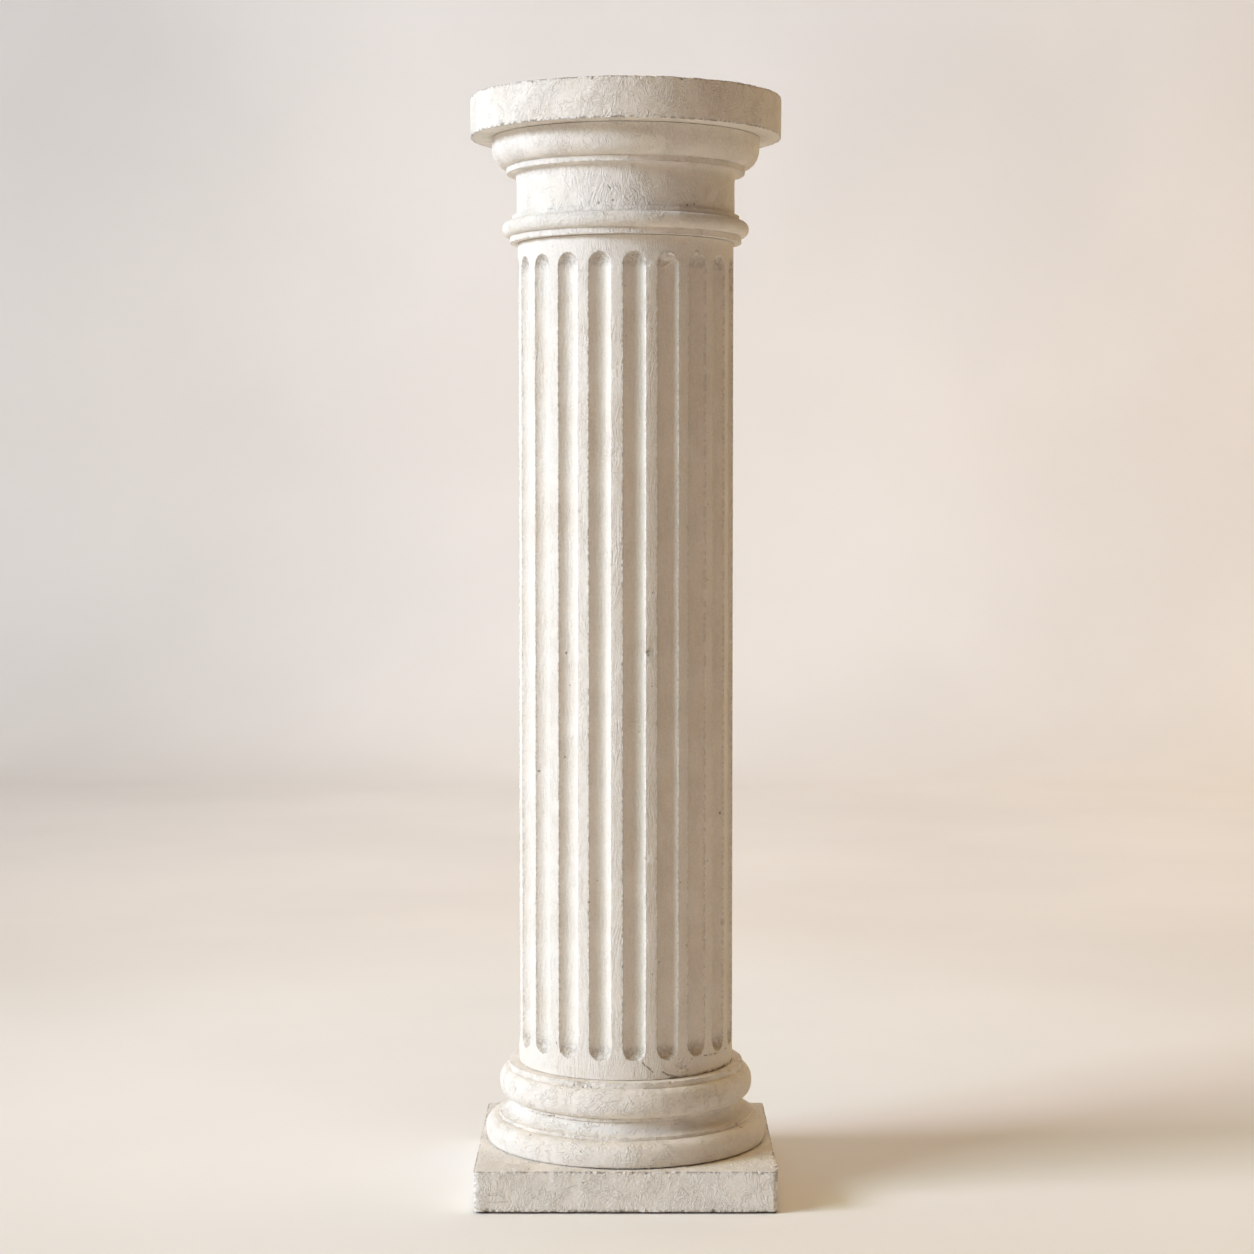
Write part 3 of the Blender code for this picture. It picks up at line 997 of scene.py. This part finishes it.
def plaster(name, finish, working, pits=(), cracks=(), seams=()):
    """Painted plaster: mottled, brushed or trowelled, pitted, and darkened in its pits and cracks by
    dirt and by painted shade.
    """
    material, tree, shader, place = new_material(name, finish.roughness, SPECULAR)
    crumble = painted_on(tree, "crumble")
    crumbs = noise(tree, place, CRUMB_SCALE, roughness=0.6)
    crumbled = multiplied(tree, crumble, fade(tree, crumbs, 0.49, 0.58))
    fresh = multiplied(tree, crumble, fade(tree, crumbs, 0.5, 0.42))
    pocks = pocked(tree, place)
    marks = marked(tree, shaken(tree, place, *MARK_SHAKE), pits, cracks)
    raised = marked(tree, shaken(tree, place, *SEAM_SHAKE), (), seams)

    height = worked(tree, place, working)
    for detail, amount in (
        (noise(tree, place, GRAIN_SCALE, roughness=0.6), GRAIN_HEIGHT),
        (noise(tree, place, LUMP_SCALE), LUMP_HEIGHT),
        (pocks, POCK_HEIGHT),
        (crumbled, CRUMB_HEIGHT),
        (marks, MARK_HEIGHT),
        (raised, SEAM_HEIGHT),
    ):
        height = reckon(tree, "MULTIPLY_ADD", detail, amount, height)
    bump = node(tree, "ShaderNodeBump", {"Height": height, "Strength": 1.0, "Distance": MM})
    tree.links.new(bump.outputs["Normal"], shader["Normal"])

    # Dirt and painted shade: the darkening the skin carries, and the pocks, crumbs and marks, mix the
    # paint towards one dark colour
    dirt_and_shade = painted_on(tree, "grime_and_shade")
    for dark, amount in ((pocks, POCK_DIRT_AND_SHADE), (crumbled, CRUMB_DIRT_AND_SHADE), (marks, MARK_DIRT_AND_SHADE)):
        dirt_and_shade = reckon(tree, "MAXIMUM", dirt_and_shade, multiplied(tree, dark, amount))
    paint = mixed(tree, fresh, painted(tree, place, finish), FRESH)
    tree.links.new(mixed(tree, dirt_and_shade, paint, tuple(finish.dirt_and_shade)), shader["Base Color"])
    return material


def dress(skin, solid, material):
    """Lets a skin stand for its solid."""
    piece = skin.to_object(f"{solid}_plaster")
    piece.data.materials.append(material)
    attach(piece, "root")
    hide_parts(solid)
    return piece


# Marks: (turn, radius, height, size) of a pit, and (width, bend, bend, ...) of a crack,
# a bend being (turn, radius, height). Turns are in degrees and lengths in millimetres.

SHAFT_PITS = (
    (11.8, 99.8, 500.3, 1.7),
    (12.0, 99.5, 497.5, 1.2),
    (-34.9, 94.3, 498.2, 1.3),
    (-35.4, 94.8, 403.7, 1.2),
    (-54.7, 97.2, 388.8, 1.4),
    (63.6, 97.0, 348.6, 1.6),
    (-19.4, 99.7, 273.9, 1.5),
    (18.6, 94.7, 218.6, 1.3),
    (37.3, 100, 128.0, 1.0),
    (33.4, 100, 122.1, 0.9),
)
SHAFT_CRACKS = (
    (0.6, (-15.2, 97.7, 856.8), (-12.5, 94.6, 852.3)),
    (0.6, (3.4, 95.6, 854.9), (6.5, 96.6, 855.7)),
    (0.85, (45.9, 100, 128.7), (55.3, 100, 127.9), (68.6, 100, 128.9)),
    (1.0, (19.8, 100, 118.9), (22.5, 100, 116.1), (28.5, 100, 113.3)),
    (0.85, (9.1, 100, 128.2), (14.4, 100, 119.5)),
)
BASE_PITS = (
    (-25.2, 109.6, 108.2, 1.3),
    (-20.5, 109.6, 107.1, 1.6),
    (-16.5, 109.6, 107.7, 1.2),
    (-36.4, 109.7, 77.3, 1.3),
    (-43.9, 125.2, 60.3, 1.2),
    (-17.8, 130.3, 53.1, 1.5),
    (59.6, 123.0, 61.0, 2.0),
)
BASE_CRACKS = ((0.6, (-16.8, 124.4, 39.7), (-9.8, 124.4, 39.7)),)
CAPITAL_PITS = (
    (-13.5, 101.1, 900.7, 1.4),
    (-6.3, 101.1, 903.1, 1.2),
    (33.0, 101.0, 900.4, 1.3),
    (37.4, 101.2, 901.7, 1.2),
)
CAPITAL_CRACKS = (
    (0.5, (4.2, 101.2, 913.7), (5.4, 101.2, 909.8)),
    (0.5, (-9.0, 101.2, 916.5), (-7.6, 101.2, 913.0)),
)
PLINTH_PITS = (
    (-84.8, 130.6, 38.5, 1.4),
    (-66.9, 128.2, 38.5, 1.4),
)
ABACUS_PITS = (
    (-34.9, 143.6, 1005.1, 1.6),
    (-11.6, 143.7, 1004.1, 1.5),
)
# Raised lines, laid out as cracks are
BASE_SEAMS = (
    (0.7, (-13.1, 118.3, 91.0), (-9.8, 118.3, 96.2), (-3.3, 117.9, 98.2)),
    (0.7, (1.0, 116.6, 101.2), (3.0, 118.3, 95.0)),
)
PLINTH_SEAMS = (
    (0.6, (-45.6, 189.6, 19.0), (-41.3, 181.7, 18.4), (-39.2, 176.0, 19.8)),
    (0.6, (-45.6, 189.6, 13.6), (-42.6, 185.4, 15.8), (-39.4, 176.6, 18.0)),
    (0.6, (-44.0, 189.7, 12.2), (-41.3, 181.7, 10.4), (-37.8, 172.7, 11.4)),
    (0.5, (-23.2, 148.5, 21.9), (-17.6, 143.2, 26.2)),
    (0.5, (-25.4, 151.1, 10.2), (-22.6, 147.8, 17.8)),
)

# Dark lines along the joint at a piece's foot, both on the column's shaded side: from one turn to
# another in degrees, and its width. The torus's line is painted contact shade
FOOT_LINE = (18, 100, 2.2 * MM)
TORUS_LINE = (-20, 100, 1.1 * MM)
# Filler in the flutes: (turn, height, size, share of the depth filled)
SHAFT_FILLER = (
    (23.5, 857.5, 12.5, 1.0),
    (26.5, 861.5, 8.0, 1.0),
    (40.5, 858.5, 6.5, 0.6),
    (58.5, 857.5, 5.5, 0.5),
)
# Chips: (turn, radius, height, size, depth). A depth of 0 makes a rough spot.
SHAFT_CHIPS = (
    (12.0, 100, 500.2, 3.4, 1.2),
    (13.4, 100, 497.0, 3.4, 0.5),
    (40.5, 98, 857.5, 6.0, 0),
    (58.5, 98, 856.5, 5.0, 0),
    (31.0, 100, 122.0, 8.0, 0),
)
BASE_CHIPS = (
    (-21.0, 109.8, 110.5, 5.5, 1.4),
    (-17.5, 109.8, 109.5, 4.0, 0.9),
    (59.6, 119.0, 63.0, 3.6, 1.2),
)
CAPITAL_CHIPS = (
    (33.5, 105.5, 900.5, 3.0, 1.0),
    (37.0, 105.5, 900.8, 2.6, 0.9),
)


# Operators

# The radius at which outlines start and end, hidden in the column
CORE = 20 * MM
# The width of the ring of a bed that reaches into view
BED_WIDTH = 4 * MM
# The radius of the plinth's top that the base mouldings stand on
UNDER_TORUS = 127 * MM
# Points round a skin
SQUARE_POINTS = 800
BASE_POINTS = 760
CAPITAL_POINTS = 720
ABACUS_POINTS = 760
# How crumbly the edges look, from 0 to 1
SLAB_CRUMBS = 1.0
UPRIGHT_CRUMBS = 0.6
MOULDING_CRUMBS = 0.35
SHAFT_CRUMBS = 0.42
SHAFT_EVENNESS = 3.0


class COLUMN_OT_plinth(bpy.types.Operator):
    """Dresses the plinth in trowelled plaster with crumbled edges"""

    bl_idname = "column.plinth"
    bl_label = "Plinth"

    def execute(self, context):
        settings = context.scene.column
        low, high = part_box("plinth")
        half, foot, top = high[0], low[2], high[2]
        edge = foot + settings.slabs.undercut_height
        outline = Outline(CORE, foot)
        outline.across(half - settings.slabs.undercut_depth, HIDDEN_SPACING)
        outline.up(settings.slabs.undercut_height, CORNER_SPACING)
        outline.across(half, CORNER_SPACING)
        outline.slab_side(top)
        outline.across(UNDER_TORUS, TOP_SPACING)
        outline.across(CORE, HIDDEN_SPACING)
        ring = square_ring(SQUARE_POINTS, settings.slabs.plinth_corner / half)
        skin = carried(Rows(outline, SLAB_EDGE), *ring)
        skin.bed(0, UNDER_TORUS)
        uprights = upright_edges(skin.points, half, settings.slabs.plinth_corner)
        skin.edge = np.maximum(skin.edge, UPRIGHT_CRUMBS * uprights)
        # Painted shadow: the undercut's wall under the plinth is painted fully dark, as the contact
        # shadow at the floor
        skin.grime_and_shade[skin.points[:, 2] < edge - FLAT] = 1
        wear_down(skin, settings.slabs.wear, SLAB_CRUMBS, 150, 11)
        finish = plaster(
            "plinth_plaster", settings.finish, "trowelled", PLINTH_PITS, (), PLINTH_SEAMS
        )
        dress(skin, "plinth", finish)
        return {"FINISHED"}


class COLUMN_OT_base_mouldings(bpy.types.Operator):
    """Dresses the base mouldings in brushed, pitted plaster"""

    bl_idname = "column.base_mouldings"
    bl_label = "Base mouldings"

    def execute(self, context):
        settings = context.scene.column
        base, shaft_radius = settings.base, settings.shaft.radius
        foot, top = levels("base_mouldings")
        tucked = shaft_radius + base.lower_torus_projection - base.lower_torus_foot
        half_torus = base.lower_torus_height / 2
        lower_fillet = shaft_radius + base.lower_fillet_projection
        narrowest = shaft_radius + base.scotia_projection
        fillet = shaft_radius + base.fillet_projection
        outline = Outline(CORE, foot)
        outline.across(tucked, HIDDEN_SPACING)
        outline.curve((base.lower_torus_foot, half_torus), -90, 0)
        outline.curve((base.lower_torus_bulge, half_torus), 0, 90)
        outline.across(lower_fillet)
        outline.up(base.lower_fillet_height)
        outline.curve((lower_fillet - narrowest, base.scotia_height), 270, 180)
        outline.across(fillet)
        outline.up(base.waist_fillet_height)
        outline.torus(shaft_radius + base.upper_torus_projection, base.upper_torus_height)
        outline.line(fillet, top)
        outline.across(shaft_radius - BED_WIDTH, BED_SPACING)
        outline.across(CORE, HIDDEN_SPACING)
        skin = carried(Rows(outline), *round_ring(BASE_POINTS))
        skin.bed(tucked, shaft_radius)
        wear_down(skin, base.wear, MOULDING_CRUMBS, 60, 22)
        knock(skin, BASE_CHIPS, 25)
        # Painted shade: a dark line at the lower torus's foot, standing for its contact shadow on the
        # shaded side
        foot_line(skin, *TORUS_LINE, 26)
        finish = plaster(
            "base_plaster", settings.finish, "level", BASE_PITS, BASE_CRACKS, BASE_SEAMS
        )
        dress(skin, "base_mouldings", finish)
        return {"FINISHED"}


class COLUMN_OT_shaft(bpy.types.Operator):
    """Dresses the shaft in fluted, brushed plaster with nibbled edges"""

    bl_idname = "column.shaft"
    bl_label = "Shaft"

    def execute(self, context):
        settings = context.scene.column
        skin = fluted_skin(settings.shaft)
        fill(skin, settings.shaft.radius, SHAFT_FILLER, 38)
        wear_down(skin, settings.shaft.wear, SHAFT_CRUMBS, 260, 33, SHAFT_EVENNESS)
        knock(skin, SHAFT_CHIPS, 36)
        foot_line(skin, *FOOT_LINE, 39)
        finish = plaster("shaft_plaster", settings.finish, "upright", SHAFT_PITS, SHAFT_CRACKS)
        dress(skin, "shaft", finish)
        return {"FINISHED"}


class COLUMN_OT_capital(bpy.types.Operator):
    """Dresses the capital in brushed plaster"""

    bl_idname = "column.capital"
    bl_label = "Capital"

    def execute(self, context):
        settings = context.scene.column
        capital, shaft_radius = settings.capital, settings.shaft.radius
        foot, top = levels("capital")
        neck = shaft_radius + capital.neck_projection
        cavetto = shaft_radius + capital.cavetto_projection
        fillet = shaft_radius + capital.fillet_projection
        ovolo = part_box("capital")[1][0]
        outline = Outline(CORE, foot)
        outline.across(shaft_radius - BED_WIDTH, HIDDEN_SPACING)
        outline.across(shaft_radius + capital.necking_projection, BED_SPACING)
        outline.up(capital.necking_height)
        outline.torus(shaft_radius + capital.astragal_projection, capital.astragal_height)
        outline.across(shaft_radius + capital.annulet_projection)
        outline.up(capital.annulet_height)
        outline.across(neck)
        outline.up(capital.neck_height)
        outline.curve((cavetto - neck, capital.cavetto_height), 180, 90)
        outline.across(fillet)
        outline.up(capital.fillet_height)
        outline.curve((ovolo - fillet, capital.ovolo_height), -90, 0)
        outline.line(ovolo, top)
        outline.across(ovolo - BED_WIDTH)
        outline.across(CORE, HIDDEN_SPACING)
        skin = carried(Rows(outline), *round_ring(CAPITAL_POINTS))
        skin.bed(shaft_radius, ovolo)
        wear_down(skin, capital.wear, MOULDING_CRUMBS, 50, 44)
        knock(skin, CAPITAL_CHIPS, 47)
        finish = plaster(
            "capital_plaster", settings.finish, "fanned", CAPITAL_PITS, CAPITAL_CRACKS
        )
        dress(skin, "capital", finish)
        return {"FINISHED"}


class COLUMN_OT_abacus(bpy.types.Operator):
    """Dresses the round top slab in trowelled plaster with crumbled edges"""

    bl_idname = "column.abacus"
    bl_label = "Abacus"

    def execute(self, context):
        settings = context.scene.column
        foot, top = levels("abacus")
        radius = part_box("abacus")[1][0]
        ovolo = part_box("capital")[1][0]
        outline = Outline(CORE, foot)
        outline.across(ovolo - BED_WIDTH, HIDDEN_SPACING)
        outline.across(radius - CORNER_ZONE, BED_SPACING)
        outline.across(radius, CORNER_SPACING)
        outline.slab_side(top)
        outline.across(BED_WIDTH, TOP_SPACING)
        skin = carried(Rows(outline, SLAB_EDGE), *round_ring(ABACUS_POINTS))
        skin.bed(ovolo, 0)
        wear_down(skin, settings.slabs.wear, SLAB_CRUMBS, 130, 55)
        dress(skin, "abacus", plaster("abacus_plaster", settings.finish, "trowelled", ABACUS_PITS))
        return {"FINISHED"}


FLOOR_HALF = 14.0
WALL_DISTANCE = 4.2
WALL_BEND = 0.8
WALL_TOP = 4.5
BEND_STEPS = 24
BACKDROP_ROUGHNESS = 0.95
BACKDROP_SPECULAR = 0.1
CLOUD_SCALE = 1.3
# Where the backdrop's painted pool of light and painted shade change over, in metres
NEAR_TO_FAR = (0.55, 1.7)
LEFT_FADE = (-1.5, -0.2)
HIGH_FADE = (0.9, 1.8)
SENSOR_WIDTH = 36.0


def backdrop_mesh():
    """A floor that turns up into a wall behind the column in one sweep."""
    profile = [(-FLOOR_HALF, 0.0)]
    for bend in np.radians(np.linspace(0, 90, BEND_STEPS + 1)):
        profile.append((
            WALL_DISTANCE - WALL_BEND + WALL_BEND * math.sin(bend),
            WALL_BEND - WALL_BEND * math.cos(bend),
        ))
    profile.append((WALL_DISTANCE, WALL_TOP))
    verts = [(x, y, z) for y, z in profile for x in (-FLOOR_HALF, FLOOR_HALF)]
    faces = [(2 * i, 2 * i + 1, 2 * i + 3, 2 * i + 2) for i in range(len(profile) - 1)]
    mesh = bpy.data.meshes.new("backdrop")
    mesh.from_pydata(verts, [], faces)
    mesh.shade_smooth()
    return mesh


def backdrop_material(studio):
    """A matte sweep, nearly white round the column and beige further off as a painted pool of light,
    with painted shade at its left and high up.
    """
    material, tree, shader, place = new_material("backdrop", BACKDROP_ROUGHNESS, BACKDROP_SPECULAR)
    # Painted pool of light: the sweep is whiter near the column
    far = fade(tree, reckon_vector(tree, "LENGTH", place), *NEAR_TO_FAR)
    cloud = fade(tree, noise(tree, place, CLOUD_SCALE, detail=3.0), 0.3, 0.7, 0.97, 1.03)
    axes = node(tree, "ShaderNodeSeparateXYZ", {"Vector": place}).outputs
    # Painted shade: the sweep is darker at its left and high up
    left = fade(tree, axes["X"], *LEFT_FADE, studio.left_shade, 1.0)
    high = fade(tree, axes["Z"], *HIGH_FADE, 1.0, studio.high_shade)
    mottle_and_painted_shade = multiplied(tree, cloud, multiplied(tree, left, high))
    paint = mixed(tree, far, tuple(studio.near_floor), tuple(studio.far_floor))
    tree.links.new(mixed(tree, 1.0, paint, mottle_and_painted_shade, "MULTIPLY"), shader["Base Color"])
    return material


COLUMN_MIDDLE = Vector((0, 0, 0.5))
WALL_FOOT = Vector((0.4, WALL_DISTANCE, 1.0))
# Panels of soft light: name, the point they face, their turn and lift from it in degrees,
# distance, width and height in metres, watts and colour
LEFT_PANELS = (
    ("left_high", COLUMN_MIDDLE, -75, 42, 9.0, 2.2, 2.2, 68, (0.93, 1.0, 0.46)),
    ("left", COLUMN_MIDDLE, -75, 22, 9.0, 2.2, 2.2, 548, (0.755, 0.77, 1.0)),
    ("left_front", COLUMN_MIDDLE, -60, 22, 9.0, 2.2, 2.2, 356, (0.72, 0.94, 1.0)),
)
FILL_PANELS = (
    ("right_back", COLUMN_MIDDLE, 130, 12, 5.0, 3.0, 3.0, 43, (1.0, 0.6, 0.05)),
    ("front", COLUMN_MIDDLE, 0, 25, 6.0, 4.0, 3.0, 15, (1.0, 0.2, 0.05)),
)
TOP_PANELS = (
    ("top", COLUMN_MIDDLE, 0, 88, 4.0, 3.0, 3.0, 52, (1.0, 0.6, 0.1)),
    ("wall", WALL_FOOT, 0, 43, 4.1, 4.0, 1.0, 52, (0.45, 0.64, 1.0)),
)


def soft_light(strength, name, faced, turn, lift, distance, width, height, watts, tint):
    """A rectangular light that faces a point."""
    lamp = bpy.data.lights.new(name, "AREA")
    lamp.shape = "RECTANGLE"
    lamp.size, lamp.size_y = width, height
    lamp.energy, lamp.color = watts * strength, tint
    light = bpy.data.objects.new(name, lamp)
    turn, lift = math.radians(turn), math.radians(lift)
    away = Vector((
        math.sin(turn) * math.cos(lift),
        -math.cos(turn) * math.cos(lift),
        math.sin(lift),
    ))
    light.location = faced + distance * away
    light.rotation_euler = (-away).to_track_quat("-Z", "Y").to_euler()
    light.visible_camera = False
    bpy.context.scene.collection.objects.link(light)


class COLUMN_OT_studio(bpy.types.Operator):
    """Sets up a plain backdrop, a soft light from the left and the camera"""

    bl_idname = "column.studio"
    bl_label = "Studio"

    def execute(self, context):
        scene, studio = context.scene, context.scene.column.studio
        backdrop = bpy.data.objects.new("backdrop", backdrop_mesh())
        backdrop.data.materials.append(backdrop_material(studio))
        scene.collection.objects.link(backdrop)

        for strength, panels in (
            (studio.key_power, LEFT_PANELS),
            (studio.fill_power, FILL_PANELS),
            (studio.top_power, TOP_PANELS),
        ):
            for panel in panels:
                soft_light(strength, *panel)

        world = bpy.data.worlds.new("room")
        world.use_nodes = True
        background = world.node_tree.nodes["Background"]
        background.inputs["Color"].default_value = (*studio.room_colour, 1.0)
        background.inputs["Strength"].default_value = 1.0
        scene.world = world

        lens = bpy.data.cameras.new("camera")
        lens.lens, lens.sensor_width = studio.lens, SENSOR_WIDTH
        camera = bpy.data.objects.new("camera", lens)
        camera.location = (studio.camera_aside, -studio.camera_distance, studio.camera_height)
        camera.rotation_euler = (math.pi / 2 - studio.camera_tilt, 0, 0)
        scene.collection.objects.link(camera)
        scene.camera = camera
        scene.view_settings.view_transform = "Standard"
        return {"FINISHED"}


class COLUMN_PT_main(bpy.types.Panel):
    """Lists the column's pieces and their settings"""

    bl_idname = "COLUMN_PT_main"
    bl_label = "Plaster column"
    bl_space_type = "VIEW_3D"
    bl_region_type = "UI"
    bl_category = "Column"

    def draw(self, context):
        settings = context.scene.column
        for operator in OPERATORS:
            self.layout.operator(operator.bl_idname)
        for group in ColumnSettings.__annotations__:
            box = self.layout.box()
            box.label(text=group.capitalize())
            part = getattr(settings, group)
            for key in part.__annotations__:
                box.prop(part, key)


OPERATORS = (
    COLUMN_OT_plinth,
    COLUMN_OT_base_mouldings,
    COLUMN_OT_shaft,
    COLUMN_OT_capital,
    COLUMN_OT_abacus,
    COLUMN_OT_studio,
)
CLASSES = (
    ShaftSettings,
    BaseSettings,
    CapitalSettings,
    SlabSettings,
    FinishSettings,
    StudioSettings,
    ColumnSettings,
    *OPERATORS,
    COLUMN_PT_main,
)


def register():
    for cls in CLASSES:
        bpy.utils.register_class(cls)
    bpy.types.Scene.column = PointerProperty(
        name="Column", description="Settings of the plaster column", type=ColumnSettings
    )


def unregister():
    del bpy.types.Scene.column
    for cls in reversed(CLASSES):
        bpy.utils.unregister_class(cls)


def main():
    register()
    pit_group()
    crack_group()
    bpy.ops.column.plinth()
    bpy.ops.column.base_mouldings()
    bpy.ops.column.shaft()
    bpy.ops.column.capital()
    bpy.ops.column.abacus()
    bpy.ops.column.studio()


if __name__ == "__main__":
    main()
